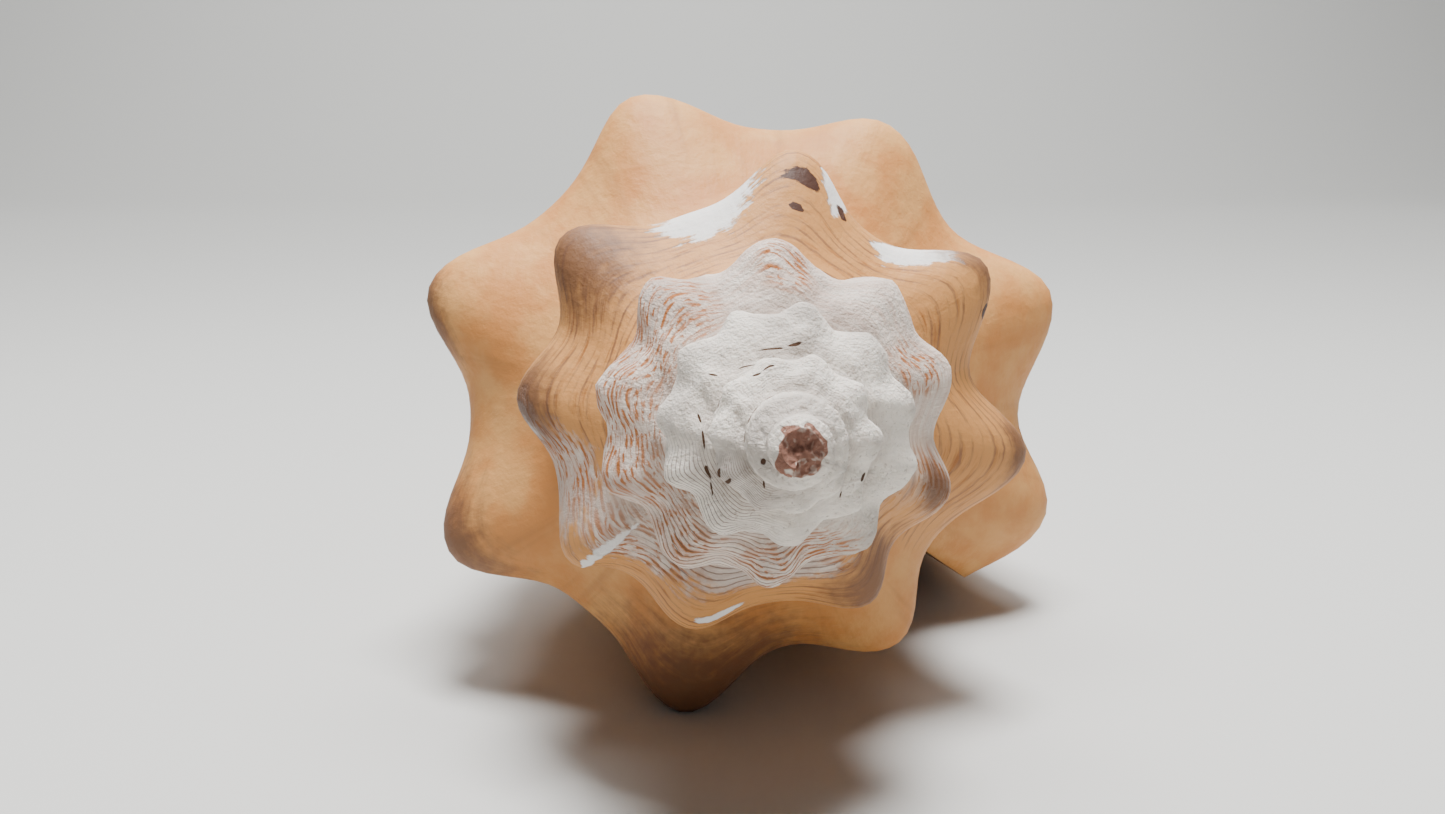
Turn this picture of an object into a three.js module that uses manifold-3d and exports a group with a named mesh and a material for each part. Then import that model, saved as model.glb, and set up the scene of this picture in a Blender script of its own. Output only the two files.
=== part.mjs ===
// A horse conch shell: one solid wall, wound right-handed round its own axis, lying on its mouth.
// Every length is in millimetres and every outline is in shares of TIP_RADIUS, measured from the
// point on the axis that the whole spiral shrinks towards. A "turn" counts whorls back from the lip.
import * as THREE from "three";
import Module from "manifold-3d";
import { mergeVertices } from "three/addons/utils/BufferGeometryUtils.js";

// ---- Driving dimensions ------------------------------------------------------------------------
const TIP_RADIUS = 66; // from the axis to the tips of the newest knobs
const GROWTH = 1.567; // how many times larger the shell gets in one turn
const TURNS = 6.8; // whorls from the lip back to the broken tip
const COLUMNS = 48; // growth steps in one turn
const WALL_ROWS = 8; // rows from one suture to the next
const BASE_ROWS = 10; // rows from the last suture line to the end of the canal
const LIP_WALL = 2.2; // thickness of the lip's edge
const BODY_WALL = 4.6; // thickness of the wall behind the lip
const CALLUS = 1.2; // glaze over the inner side of the mouth
const WALL_FULL = 0.1; // turns behind the lip by which the wall has its whole thickness
const CANAL_KEPT = { from: 1.45, to: 1.95 }; // where on the outline the canal stops narrowing
// The canal's inner side folds in towards the axis: by which share, over which stretch of the
// outline, and from which turn on.
const GUTTER = { fold: 0.5, from: 1.35, to: 1.7, turn: 0.72 };
// How far the canal's end leans off the axis, and which way.
const CANAL_BEND = { reach: 9, heading: THREE.MathUtils.degToRad(-120) };
const CANAL_BEND_FROM = 2.7; // where along the axis it starts to lean, in tip radii
const CANAL_BEND_SPAN = 1.5; // and over how long a stretch it reaches that far
// The open way out at the canal's end: how far from the axis, how many turns behind the lip.
const CANAL_BORE = { end: 8.4, inner: 10.6, turn: 0.045, radius: 2.6, length: 34, sides: 16 };
const HOLLOW_TURNS = 1.7; // how far the hollow winds back from the mouth
const HOLLOW_COLUMNS = 24; // steps in one turn of the hollow
const HOLLOW_FOOT = { outer: 1.4, inner: 1.64 }; // where on the outline it ends behind the mouth
const HOLLOW_CLOSED = 0.45; // turns back from the lip by which its canal part has closed off
const CORNER_WALL = 0.8; // thickness left in the corner at the suture
const CORNER_SLOPE = 0.33; // and how fast it thickens away from the corner
const REST_TILT = THREE.MathUtils.degToRad(9.7); // how far the spire lifts off the ground
const REST_ROLL = THREE.MathUtils.degToRad(-43); // turn about the axis that lays the mouth down
const LIP_SHIFT = 0.018; // turns from the last whorl line back to the worn lip
const SHOULDER_LAG = 0.002; // turns that a growth line lags at the shoulder
const SETTLE_PASSES = 4; // times the shell is levelled on its three resting points
const FOOT_FLAT = 0.5; // how much the resting points are rubbed flat

// The whorl's outline from the suture over the shoulder to the next suture (points 0 to 8), and on
// over the base down the neck to the end of the canal (points 8 to 16): [from axis, along axis].
const OUTLINE = new THREE.SplineCurve(
  [
    [0.535, 1.52],
    [0.598, 1.583],
    [0.675, 1.648],
    [0.747, 1.716],
    [0.809, 1.79],
    [0.836, 1.9],
    [0.839, 2.05],
    [0.842, 2.21],
    [0.535 * GROWTH, 1.52 * GROWTH],
    [0.775, 2.57],
    [0.682, 2.77],
    [0.566, 2.97],
    [0.445, 3.175],
    [0.34, 3.4],
    [0.265, 3.66],
    [0.218, 3.93],
    [0.185, 4.2],
  ].map(([across, along]) => new THREE.Vector2(across, along)),
);
const SUTURE = 1; // where the next whorl's suture lies on the outline, 0 being its own suture
const CANAL_END = 2;
const SHOULDER = 0.52;

// Knobs, counted back from the lip: the gap in degrees from the knob before, and the height.
const KNOBS = [
  [24, 0.17], [38, 0.19], [42, 0.14], [47, 0.16], [51, 0.2], [48, 0.22], [53, 0.23], [45, 0.18],
  [47, 0.24], [40, 0.25], [48, 0.22], [57, 0.22], [38, 0.15], [41, 0.15], [37, 0.15], [50, 0.18],
  [37, 0.17], [37, 0.17], [30, 0.17], [42, 0.17], [41, 0.18], [36, 0.17], [31, 0.17], [38, 0.17],
  [37, 0.15], [38, 0.17], [36, 0.17], [28, 0.17], [29, 0.17], [35, 0.15], [31, 0.15], [30, 0.17],
  [30, 0.17], [30, 0.17], [36, 0.17], [42, 0.15], [42, 0.15], [42, 0.15], [34, 0.14], [35, 0.13],
  [35, 0.12], [34, 0.12], [33, 0.12], [36, 0.11], [36, 0.1], [36, 0.1], [36, 0.09],
];
const KNOB_SPREAD = { older: 0.022, newer: 0.027 }; // turns, on a knob's older and newer side
const KNOB_DROP = 0.22; // how far along the outline a knob falls away below the shoulder
const KNOB_FOOT = 0.16; // share of a knob's height that is left at the suture below it
const KNOB_FADE = 0.35; // how far past that suture its foot fades out
const SUTURE_WAVE = 0.25; // how far up the ramp a suture still waves over the knobs below it

// ---- Growth law ----------------------------------------------------------------------------------
const smooth = (x, low, high) => THREE.MathUtils.smoothstep(x, low, high);
const knobTurns = KNOBS.reduce(
  (found, [gap]) => [...found, (found.at(-1) ?? 0) + gap / 360],
  [],
);

// How far a knob row stands out at a turn, before the knob's own shape across the whorl.
function knobHeight(turn) {
  return KNOBS.reduce((sum, [, height], i) => {
    const away = turn - knobTurns[i];
    const spread = away > 0 ? KNOB_SPREAD.older : KNOB_SPREAD.newer;
    return sum + height * Math.exp(-((away / spread) ** 2) / 2);
  }, 0);
}

// A knob across the whorl: a rib that climbs the ramp, the tip on the shoulder, a foot below.
function knobShape(v) {
  if (v < SHOULDER) return Math.sin(((Math.PI / 2) * v) / SHOULDER) ** 2;
  const fall = Math.exp(-(((v - SHOULDER) / KNOB_DROP) ** 2));
  const foot = KNOB_FOOT * (1 - smooth(v, SUTURE, SUTURE + KNOB_FADE));
  return foot + (1 - KNOB_FOOT) * fall;
}

// A whorl sits on the knobs of the one before, so its suture waves over them.
function standOut(turn, v) {
  const own = knobHeight(turn) * knobShape(v);
  const below = (knobHeight(turn + 1) / GROWTH) * KNOB_FOOT;
  return own + below * Math.max(0, 1 - v / SUTURE_WAVE) ** 2;
}

// How far, in turns, a point of a growth line lies from the line's place on the whorl.
function lean(v) {
  return LIP_SHIFT + SHOULDER_LAG * Math.sin(Math.PI * Math.min(v, SUTURE)) ** 2;
}

// A line of the wall at one turn, without its knobs, in millimetres. The base narrows with the
// spiral, but the canal keeps one end, and its inner side folds in to leave an open gutter.
function wallLine(turn, v) {
  const kept = smooth(v, CANAL_KEPT.from, CANAL_KEPT.to);
  const scale = TIP_RADIUS * GROWTH ** (-turn * (1 - kept));
  const folded = smooth(v, GUTTER.from, GUTTER.to) * smooth(turn, GUTTER.turn, 1);
  const gutter = 1 - GUTTER.fold * folded;
  const p = OUTLINE.getPoint(v / CANAL_END);
  return { v, scale, gutter, across: p.x * scale * gutter, along: p.y * scale };
}

function bent(across, along, turn) {
  const angle = 2 * Math.PI * turn;
  const past = Math.max(0, along / TIP_RADIUS - CANAL_BEND_FROM) / CANAL_BEND_SPAN;
  const sway = CANAL_BEND.reach * past * past;
  return new THREE.Vector3(
    across * Math.cos(angle) + sway * Math.cos(CANAL_BEND.heading),
    across * Math.sin(angle) + sway * Math.sin(CANAL_BEND.heading),
    -along,
  );
}

function outerPoint(column, v) {
  const turn = column / COLUMNS + lean(v);
  const line = wallLine(turn, v);
  return bent(line.across + standOut(turn, v) * line.scale * line.gutter, line.along, turn);
}

// ---- The hollow ----------------------------------------------------------------------------------
// One ring of the hollow: down the inside of the outer wall, across the foot, and up the pillar
// and the whorl before. Behind the mouth the canal's part of the ring closes off.
function hollowRing(turn, outerRows, innerRows) {
  const closed = smooth(turn, 0, HOLLOW_CLOSED);
  const outerEnd = THREE.MathUtils.lerp(CANAL_END, HOLLOW_FOOT.outer, closed);
  const innerEnd = THREE.MathUtils.lerp(CANAL_END, HOLLOW_FOOT.inner, closed);
  const shrink = (v, end) => SUTURE + ((v - SUTURE) * (end - SUTURE)) / (CANAL_END - SUTURE);
  const loop = [
    ...outerRows.map((v) => wallLine(turn + lean(v), v <= SUTURE ? v : shrink(v, outerEnd))),
    ...innerRows.map((v) => wallLine(turn + 1 + lean(v), shrink(v, innerEnd))),
  ];
  const count = loop.length;
  const foot = outerRows.length;
  const near = (i) => loop[(i + count) % count];
  const gap = (a, b) => Math.hypot(a.across - b.across, a.along - b.along);
  const total = loop.reduce((sum, p, i) => sum + gap(p, near(i - 1)), 0);
  const size = GROWTH ** -turn;
  const wall = size * THREE.MathUtils.lerp(LIP_WALL, BODY_WALL, smooth(turn, 0, WALL_FULL));
  let travelled = 0;
  return loop.map((p, i) => {
    travelled += i ? gap(p, near(i - 1)) : 0;
    const fromSuture = Math.min(travelled, total - travelled);
    const full = i < foot ? wall : size * CALLUS;
    const depth = Math.min(full, size * CORNER_WALL + CORNER_SLOPE * fromSuture);
    const after = i === foot - 1 ? p : near(i + 1);
    const before = i === foot ? p : near(i - 1);
    const side = gap(after, before);
    const across = p.across - (depth * (after.along - before.along)) / side;
    const along = p.along + (depth * (after.across - before.across)) / side;
    return bent(across, along, turn + lean(p.v));
  });
}

// The open end of the canal: a round way out along the foot of its gutter.
function canalBore() {
  const { inner, end, turn, radius, length, sides } = CANAL_BORE;
  const tip = TIP_RADIUS * OUTLINE.points.at(-1).y;
  const from = bent(end, tip + radius, turn);
  const to = bent(inner, tip - length, turn);
  const run = to.clone().sub(from);
  const upright = new THREE.Vector3(0, 1, 0);
  const slope = new THREE.Quaternion().setFromUnitVectors(upright, run.clone().normalize());
  const bore = new THREE.CylinderGeometry(radius, radius, run.length(), sides);
  return bore.applyQuaternion(slope).translate(...from.lerp(to, 0.5));
}

// ---- The wall as one closed mesh --------------------------------------------------------------------
function shellGeometry() {
  const last = Math.round(TURNS * COLUMNS);
  const rows = WALL_ROWS + BASE_ROWS;
  const rowAt = (j) =>
    j <= WALL_ROWS
      ? j / WALL_ROWS
      : SUTURE + (CANAL_END - SUTURE) * ((j - WALL_ROWS) / BASE_ROWS);
  const points = [];
  const triangles = [];
  const add = (point) => points.push(point) - 1;
  const quad = (a, b, c, d) => triangles.push([a, b, c], [a, c, d]);

  // Each whorl's lower edge is the next whorl's suture, so those two share their points.
  const grid = new Map();
  const at = (i, j) => (j === WALL_ROWS && i >= COLUMNS ? at(i - COLUMNS, 0) : grid.get(`${i},${j}`));
  for (let i = 0; i <= last; i++) {
    const end = i <= COLUMNS ? rows : WALL_ROWS;
    for (let j = 0; j <= end; j++) {
      const shared = j === WALL_ROWS && i >= COLUMNS;
      if (!shared) grid.set(`${i},${j}`, add(outerPoint(i, rowAt(j))));
    }
  }
  for (let i = 0; i < last; i++) {
    const end = i < COLUMNS ? rows : WALL_ROWS;
    for (let j = 0; j < end; j++) quad(at(i, j), at(i, j + 1), at(i + 1, j + 1), at(i + 1, j));
  }

  // The broken tip: a shallow scar across the first whorl.
  const scar = [];
  for (let i = last - COLUMNS; i < last; i++) scar.push(at(i, 0));
  for (let j = 0; j < WALL_ROWS; j++) scar.push(at(last, j));
  const middle = scar.reduce((sum, i) => sum.add(points[i]), new THREE.Vector3());
  const tip = add(middle.divideScalar(scar.length));
  scar.forEach((a, k) => triangles.push([a, scar[(k + 1) % scar.length], tip]));

  // The end of the canal.
  const inside = at(COLUMNS, rows);
  for (let i = 0; i < COLUMNS - 1; i++) triangles.push([inside, at(i + 1, rows), at(i, rows)]);

  // The mouth, and the hollow behind it.
  const outerRows = Array.from({ length: rows + 1 }, (_, j) => rowAt(j));
  const innerRows = outerRows.slice(WALL_ROWS + 1).reverse();
  let edge = [
    ...outerRows.map((_, j) => at(0, j)),
    ...innerRows.map((_, k) => at(COLUMNS, rows - k)),
  ];
  const steps = Math.round(HOLLOW_TURNS * HOLLOW_COLUMNS);
  for (let k = 0; k <= steps; k++) {
    const ring = hollowRing(k / HOLLOW_COLUMNS, outerRows, innerRows).map(add);
    ring.forEach((_, m) => {
      const next = (m + 1) % ring.length;
      quad(edge[m], ring[m], ring[next], edge[next]);
    });
    edge = ring;
  }
  const end = edge.reduce((sum, i) => sum.add(points[i]), new THREE.Vector3());
  const back = add(end.divideScalar(edge.length));
  edge.forEach((a, m) => triangles.push([a, back, edge[(m + 1) % edge.length]]));

  const geometry = new THREE.BufferGeometry().setFromPoints(points);
  geometry.setIndex(triangles.flat());
  return geometry;
}

// ---- Laying it down ------------------------------------------------------------------------------
// The spire points along -Y and a little up, the mouth faces the ground, and the ground is z = 0.
// It stands on a knob, on the lip and on the end of the canal, so those three are made level.
function layDown(geometry) {
  geometry.rotateZ(REST_ROLL);
  geometry.rotateX(Math.PI / 2 - REST_TILT);
  centre(geometry);
  const supports = [
    (p) => p.y < -TIP_RADIUS / 2,
    (p) => Math.abs(p.y) < TIP_RADIUS && p.x > TIP_RADIUS / 4,
    (p) => p.y > 1.5 * TIP_RADIUS,
  ];
  for (let pass = 0; pass < SETTLE_PASSES; pass++) {
    const [knob, lip, canal] = supports.map((within) => lowestPoint(geometry, within));
    const up = canal.sub(knob).cross(lip.sub(knob)).negate().normalize();
    const level = new THREE.Quaternion().setFromUnitVectors(up, new THREE.Vector3(0, 0, 1));
    geometry.applyQuaternion(level);
  }
  return centre(geometry).translate(0, 0, -FOOT_FLAT);
}

// The origin goes to the middle of the box's base.
function centre(geometry) {
  geometry.computeBoundingBox();
  const { min, max } = geometry.boundingBox;
  return geometry.translate(-(min.x + max.x) / 2, -(min.y + max.y) / 2, -min.z);
}

function lowestPoint(geometry, within) {
  const positions = geometry.getAttribute("position");
  const lowest = new THREE.Vector3(0, 0, Infinity);
  for (let i = 0; i < positions.count; i++) {
    const p = new THREE.Vector3().fromBufferAttribute(positions, i);
    if (within(p) && p.z < lowest.z) lowest.copy(p);
  }
  return lowest;
}

const wasm = await Module();
wasm.setup();

function solidOf(geometry) {
  const bare = new THREE.BufferGeometry();
  bare.setAttribute("position", geometry.getAttribute("position"));
  bare.setIndex(geometry.index);
  const merged = mergeVertices(bare, 1e-4);
  const mesh = new wasm.Mesh({
    numProp: 3,
    vertProperties: new Float32Array(merged.getAttribute("position").array),
    triVerts: new Uint32Array(merged.index.array),
  });
  return new wasm.Manifold(mesh);
}

function carve(geometry, cutter) {
  const left = solidOf(geometry).subtract(solidOf(cutter)).getMesh();
  const carved = new THREE.BufferGeometry();
  carved.setAttribute("position", new THREE.BufferAttribute(left.vertProperties, 3));
  carved.setIndex(new THREE.BufferAttribute(left.triVerts, 1));
  return carved;
}

// The ground rubs the points it rests on flat.
function ground() {
  const size = 8 * TIP_RADIUS;
  return new THREE.BoxGeometry(size, size, size).translate(0, 0, -size / 2);
}

const material = new THREE.MeshStandardMaterial({ color: "#cdb08e", roughness: 0.55, metalness: 0 });
const open = carve(shellGeometry(), canalBore());
const shell = new THREE.Mesh(carve(layDown(open), ground()), material);
shell.name = "shell";
const object = new THREE.Group();
object.add(shell);
export default object;
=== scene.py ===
import math
from functools import partial

import bpy
import numpy as np
from bpy.props import FloatProperty, IntProperty, PointerProperty, StringProperty
from mathutils import Matrix, Vector, noise


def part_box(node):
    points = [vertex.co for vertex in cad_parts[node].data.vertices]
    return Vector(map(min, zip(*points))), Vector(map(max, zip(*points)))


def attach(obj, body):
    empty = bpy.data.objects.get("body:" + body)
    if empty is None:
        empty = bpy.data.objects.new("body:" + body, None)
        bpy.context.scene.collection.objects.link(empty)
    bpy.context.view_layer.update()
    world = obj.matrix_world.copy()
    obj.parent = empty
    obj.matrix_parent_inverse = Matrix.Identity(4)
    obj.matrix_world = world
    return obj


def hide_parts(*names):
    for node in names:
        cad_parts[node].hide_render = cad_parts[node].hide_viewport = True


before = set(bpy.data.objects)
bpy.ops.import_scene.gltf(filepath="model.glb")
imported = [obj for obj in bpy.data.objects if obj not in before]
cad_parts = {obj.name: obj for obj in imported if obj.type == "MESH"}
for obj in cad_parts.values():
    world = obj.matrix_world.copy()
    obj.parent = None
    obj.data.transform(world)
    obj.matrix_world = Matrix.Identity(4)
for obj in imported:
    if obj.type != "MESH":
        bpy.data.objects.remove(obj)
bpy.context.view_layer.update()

bl_info = {
    "name": "Horse conch shell",
    "version": (1, 0, 0),
    "blender": (4, 5, 0),
    "location": "View3D > Sidebar > Shell",
    "description": "Grows a worn horse conch shell that lies on its mouth, and its stage",
    "category": "Add Mesh",
}

MM = 0.001

# The whorl's outline in shares of the knob-tip radius: from its suture over the shoulder to the
# next suture (points 0 to 8), then down the base and the canal (points 8 to 16).
# Each point is (distance from the axis, distance along the axis).
OUTLINE = np.array([
    (0.535, 1.52), (0.598, 1.583), (0.675, 1.648), (0.747, 1.716), (0.809, 1.79),
    (0.836, 1.9), (0.839, 2.05), (0.842, 2.21), (0.8383, 2.3818), (0.775, 2.57),
    (0.682, 2.77), (0.566, 2.97), (0.445, 3.175), (0.34, 3.4), (0.265, 3.66),
    (0.218, 3.93), (0.185, 4.2),
])
SUTURE, CANAL_END, SHOULDER = 1.0, 2.0, 0.52

# Knobs, counted back from the lip: (gap in degrees from the knob before, height).
KNOBS = np.array([
    (24, 0.17), (38, 0.19), (42, 0.14), (47, 0.16), (51, 0.2), (48, 0.22), (53, 0.23),
    (45, 0.18), (47, 0.24), (40, 0.25), (48, 0.22), (57, 0.22), (38, 0.15), (41, 0.15),
    (37, 0.15), (50, 0.18), (37, 0.17), (37, 0.17), (30, 0.17), (42, 0.17), (41, 0.18),
    (36, 0.17), (31, 0.17), (38, 0.17), (37, 0.15), (38, 0.17), (36, 0.17), (28, 0.17),
    (29, 0.17), (35, 0.15), (31, 0.15), (30, 0.17), (30, 0.17), (30, 0.17), (36, 0.17),
    (42, 0.15), (42, 0.15), (42, 0.15), (34, 0.14), (35, 0.13), (35, 0.12), (34, 0.12),
    (33, 0.12), (36, 0.11), (36, 0.1), (36, 0.1), (36, 0.09),
])
KNOB_TURNS = np.cumsum(KNOBS[:, 0]) / 360
KNOB_OLDER, KNOB_NEWER = 0.022, 0.027  # turns that a knob spreads on its older and newer side
KNOB_DROP = 0.22  # how far along the outline a knob falls away below the shoulder
KNOB_FOOT = 0.16  # share of a knob's height that is left at the suture below it
KNOB_FADE = 0.35  # how far past that suture its foot fades out
SUTURE_WAVE = 0.25  # how far up the ramp a suture still waves over the knobs below it
LIP_SHIFT = 0.018  # turns from the last whorl line back to the worn lip
SHOULDER_LAG = 0.002  # turns that a growth line lags at the shoulder
CANAL_KEPT = (1.45, 1.95)  # where on the outline the canal stops narrowing with the spiral
GUTTER_FOLD = 0.5  # share by which the canal's inner side folds in towards the axis
GUTTER_PLACE = (1.35, 1.7)  # where on the outline it starts to fold, and is folded
GUTTER_TURN = 0.72  # the turn it starts to fold at
BEND_FROM, BEND_SPAN = 2.7, 1.5  # where along the axis the canal leans off, in tip radii
BEND_HEADING = math.radians(-120)
WALL_FULL = 0.1  # turns behind the lip by which the wall has its whole thickness
HOLLOW_FOOT = (1.4, 1.64)  # where on the outline the hollow ends behind the mouth: outer, inner
HOLLOW_CLOSED = 0.45  # turns back from the lip by which its canal part has closed off
CORNER_WALL = 0.8 * MM  # thickness left in the corner at the suture
CORNER_SLOPE = 0.33  # and how fast it thickens away from the corner
SETTLE_PASSES = 4  # times the shell is levelled on its three resting points

# The open way out at the canal's end: turns behind the lip, radius, length, and its distance from
# the axis at the end and further in.
BORE_TURN, BORE_RADIUS, BORE_LENGTH = 0.045, 2.6 * MM, 34 * MM
BORE_OFF_AXIS = np.array([8.4, 10.6]) * MM
TIP_RINGS = 12  # rings of the broken tip
TIP_ROUGH, TIP_SINK = 0.75 * MM, 0.35 * MM  # height of its bumps, and depth of its middle

# Relief of the skin, in shares of the whorl's scale, and the turns where it is.
WAVE_RISE, FOLD_RISE, LUMP_RISE, DENT_RISE, SCAR_RISE = 0.006, 0.0035, 0.030, 0.014, 0.030
FOLDS_IN_TURN, FOLDS_ACROSS = 34, 1.5
LUMPY_TURNS = (1.9, 2.4)
SCAR_CLIMB, SCAR_FALL, SCAR_PLACE = (1.675, 1.712), (1.714, 1.722), (0.08, 0.25)

WELD = 0.0004 * MM  # points closer than this are one point
REST_DEPTH = 0.2 * MM  # how far its resting points sink below the ground's level
THREADS = 30  # spiral threads between two sutures

# Patches on the skin, each (turn, place across the whorl, half its turns, half its width).
PATCHES = {
    "worn": [
        (1.385, 0.47, 0.040, 0.17), (1.290, 0.47, 0.012, 0.10), (1.225, 0.46, 0.022, 0.10),
        (1.822, 0.42, 0.020, 0.026),
        (1.712, 0.34, 0.0045, 0.20), (1.600, 0.50, 0.014, 0.04),
    ],
    "chalky": [
        (1.645, 0.42, 0.040, 0.20), (1.60, 0.50, 0.020, 0.10), (1.73, 0.20, 0.07, 0.16),
        (1.86, 0.18, 0.09, 0.10),
    ],
    "chip": [
        (1.315, 0.385, 0.014, 0.035), (1.317, 0.275, 0.006, 0.016),
        (1.281, 0.43, 0.006, 0.03), (1.165, 0.49, 0.004, 0.05),
    ],
    # Partly real brown stains on knobs, partly painted shade where shade falls on the knobs.
    "stain": [
        (1.480, 0.40, 0.040, 0.20), (0.670, 0.48, 0.030, 0.12), (1.585, 0.45, 0.030, 0.12),
        (2.045, 0.40, 0.022, 0.10), (1.952, 0.42, 0.04, 0.15), (0.552, 0.50, 0.02, 0.08),
        (1.19, 0.50, 0.02, 0.08), (1.08, 0.48, 0.02, 0.08), (0.83, 0.45, 0.06, 0.25),
    ],
    "rust": [
        (2.57, 0.30, 0.12, 0.45), (2.46, 0.28, 0.05, 0.30), (2.33, 0.36, 0.03, 0.16),
        (2.16, 0.30, 0.03, 0.14), (2.03, 0.38, 0.05, 0.25), (1.61, 0.30, 0.07, 0.30),
        (1.74, 0.25, 0.06, 0.22), (2.88, 0.35, 0.08, 0.22), (2.72, 0.25, 0.07, 0.25),
        (1.95, 0.35, 0.05, 0.25),
    ],
    "engraved": [
        (2.80, 0.35, 0.10, 0.4), (3.72, 0.35, 0.10, 0.4), (4.72, 0.4, 0.08, 0.4),
        (1.84, 0.3, 0.10, 0.4),
    ],
}

# Worm borings in the chalk: turn, place across the whorl, the way they run (a step in each), and
# their length.
SLITS = [
    (3.482, 0.19, 0.01, 0.05, 1.0 * MM), (4.419, 0.395, 0.01, 0.02, 0.9 * MM),
    (4.388, 0.37, 0.01, 0.0, 1.6 * MM), (3.563, 0.17, 0.01, -0.03, 1.1 * MM),
    (4.658, 0.50, 0.01, 0.02, 2.6 * MM), (4.688, 0.45, 0.0, 0.02, 1.6 * MM),
    (4.753, 0.09, 0.01, 0.05, 0.8 * MM), (4.031, 0.47, 0.01, 0.05, 1.1 * MM),
    (3.98, 0.235, 0.01, -0.04, 0.8 * MM), (3.422, 0.09, 0.02, 0.04, 1.8 * MM),
    (3.364, 0.16, 0.03, 0.01, 2.6 * MM), (3.325, 0.17, 0.02, -0.02, 1.6 * MM),
    (3.60, 0.115, 0.02, 0.01, 2.2 * MM), (3.665, 0.17, 0.02, 0.03, 1.8 * MM),
    (3.698, 0.26, 0.01, 0.03, 1.4 * MM), (5.66, 0.2, 0.01, 0.04, 0.6 * MM),
]
SLIT_WIDTH, SLIT_DEPTH = 0.2 * MM, 0.6 * MM


# ---- Settings ------------------------------------------------------------------------------------


def length(name, description, default):
    """A length in metres that the sidebar shows in the scene's units."""
    return FloatProperty(
        name=name, description=description, default=default, unit="LENGTH", precision=4
    )


def colour(name, description, default):
    """An sRGB hex colour, kept as text so that it reads as in a paint chart."""
    return StringProperty(name=name, description=description, default=default)


class ShellShape(bpy.types.PropertyGroup):
    """The sizes the shell grows by."""

    tip_radius: length("Knob radius", "From the axis to the tips of the newest knobs", 66 * MM)
    growth: FloatProperty(
        name="Growth", description="How many times larger it gets in one turn", default=1.567
    )
    turns: FloatProperty(
        name="Turns", description="Whorls from the lip to the broken tip", default=6.8
    )
    columns: IntProperty(name="Columns", description="Growth steps in one turn", default=150)
    whorl_rows: IntProperty(name="Whorl rows", description="Rows between sutures", default=44)
    base_rows: IntProperty(name="Base rows", description="Rows down to the canal", default=44)
    hollow_turns: FloatProperty(
        name="Hollow", description="Turns that the hollow winds back", default=1.7
    )
    hollow_columns: IntProperty(
        name="Hollow columns", description="Steps in one turn of the hollow", default=60
    )
    lip_wall: length("Lip wall", "Thickness of the lip's edge", 2.2 * MM)
    body_wall: length("Body wall", "Thickness of the wall behind the lip", 4.6 * MM)
    callus: length("Callus", "Glaze over the inner side of the mouth", 1.2 * MM)
    canal_bend: length("Canal bend", "How far the canal's end leans off the axis", 9 * MM)
    tilt: FloatProperty(
        name="Spire lift", description="Slope of the axis", default=math.radians(9.7),
        subtype="ANGLE",
    )
    roll: FloatProperty(
        name="Roll", description="Turn about the axis", default=math.radians(-43),
        subtype="ANGLE",
    )


class ShellColours(bpy.types.PropertyGroup):
    """The colours of the shell and of its stage."""

    body: colour("Body", "Smooth newest whorl", "#C9884C")
    body_light: colour("Body, light", "Paler clouds on the newest whorl", "#D59D60")
    band: colour("Growth bands", "Darker growth bands", "#AE7846")
    middle: colour("Middle", "Whorl before the newest", "#CC9156")
    middle_dark: colour("Middle, dark", "Brown streaks on that whorl", "#95592C")
    chalk: colour("Chalk", "Weathered old whorls", "#EDE4D8")
    chalk_grey: colour("Chalk, grey", "Greyer clouds on the old whorls", "#B9AFA6")
    blush: colour("Blush", "Pinkish streaks on the chalk", "#C49C8A")
    # Painted shade: this colour darkens the chalk in the crease at each old suture.
    painted_suture_shade: colour("Dirt", "Dirt that gathers under each old suture", "#A3958A")
    pit: colour("Pits", "Dirt in the pits of the chalk", "#9C8B7F")
    worn: colour("Worn", "White layer under worn skin", "#E6E2DE")
    thread: colour("Threads", "Engraved spiral lines", "#6E5346")
    dash: colour("Dashes", "Rusty dashes between the chalk", "#AD6C3E")
    # Partly real stains, partly painted shade: this colour also darkens the shaded sides of knobs.
    shade: colour("Stains", "Grey-brown stains on knobs", "#6A4A38")
    slit: colour("Slits", "Dirt in the worm borings", "#503828")
    chip: colour("Chips", "Dark layer under lost skin", "#4A3026")
    tip: colour("Tip", "Core that shows at the broken tip", "#8F6656")
    tip_pale: colour("Tip, pale", "Pale curl in the broken tip", "#D3BFB2")
    mouth: colour("Mouth", "Glaze inside the mouth", "#DDA684")
    mouth_pale: colour("Mouth, pale", "Paler clouds in the glaze", "#EAC8AC")
    floor: colour("Floor", "Studio floor", "#C2C2BF")


# ---- Small helpers -------------------------------------------------------------------------------


def linear(hex_colour):
    """An sRGB hex colour as the linear RGBA that Blender's shaders take."""
    parts = [int(hex_colour[i : i + 2], 16) / 255 for i in (1, 3, 5)]
    curve = [c / 12.92 if c <= 0.04045 else ((c + 0.055) / 1.055) ** 2.4 for c in parts]
    return (*curve, 1.0)


def smooth(x, low, high):
    """0 below low, 1 above high, and an S-curve between."""
    t = np.clip((np.asarray(x, float) - low) / (high - low), 0, 1)
    return t * t * (3 - 2 * t)


def mix(a, b, t):
    return a + (b - a) * t


# ---- Growth law ----------------------------------------------------------------------------------


def outline(v):
    """The whorl's outline at v, a smooth curve through OUTLINE's points."""
    last = len(OUTLINE) - 1
    place = np.clip(v / CANAL_END, 0, 1) * last
    i = np.minimum(place.astype(int), last)
    w = (place - i)[:, None]
    spots = (np.maximum(i - 1, 0), i, np.minimum(i + 1, last), np.minimum(i + 2, last))
    before, here, after, beyond = (OUTLINE[k] for k in spots)
    start, end = (after - before) / 2, (beyond - here) / 2
    cubic = 2 * here - 2 * after + start + end
    square = -3 * here + 3 * after - 2 * start - end
    return cubic * w**3 + square * w**2 + start * w + here


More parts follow.
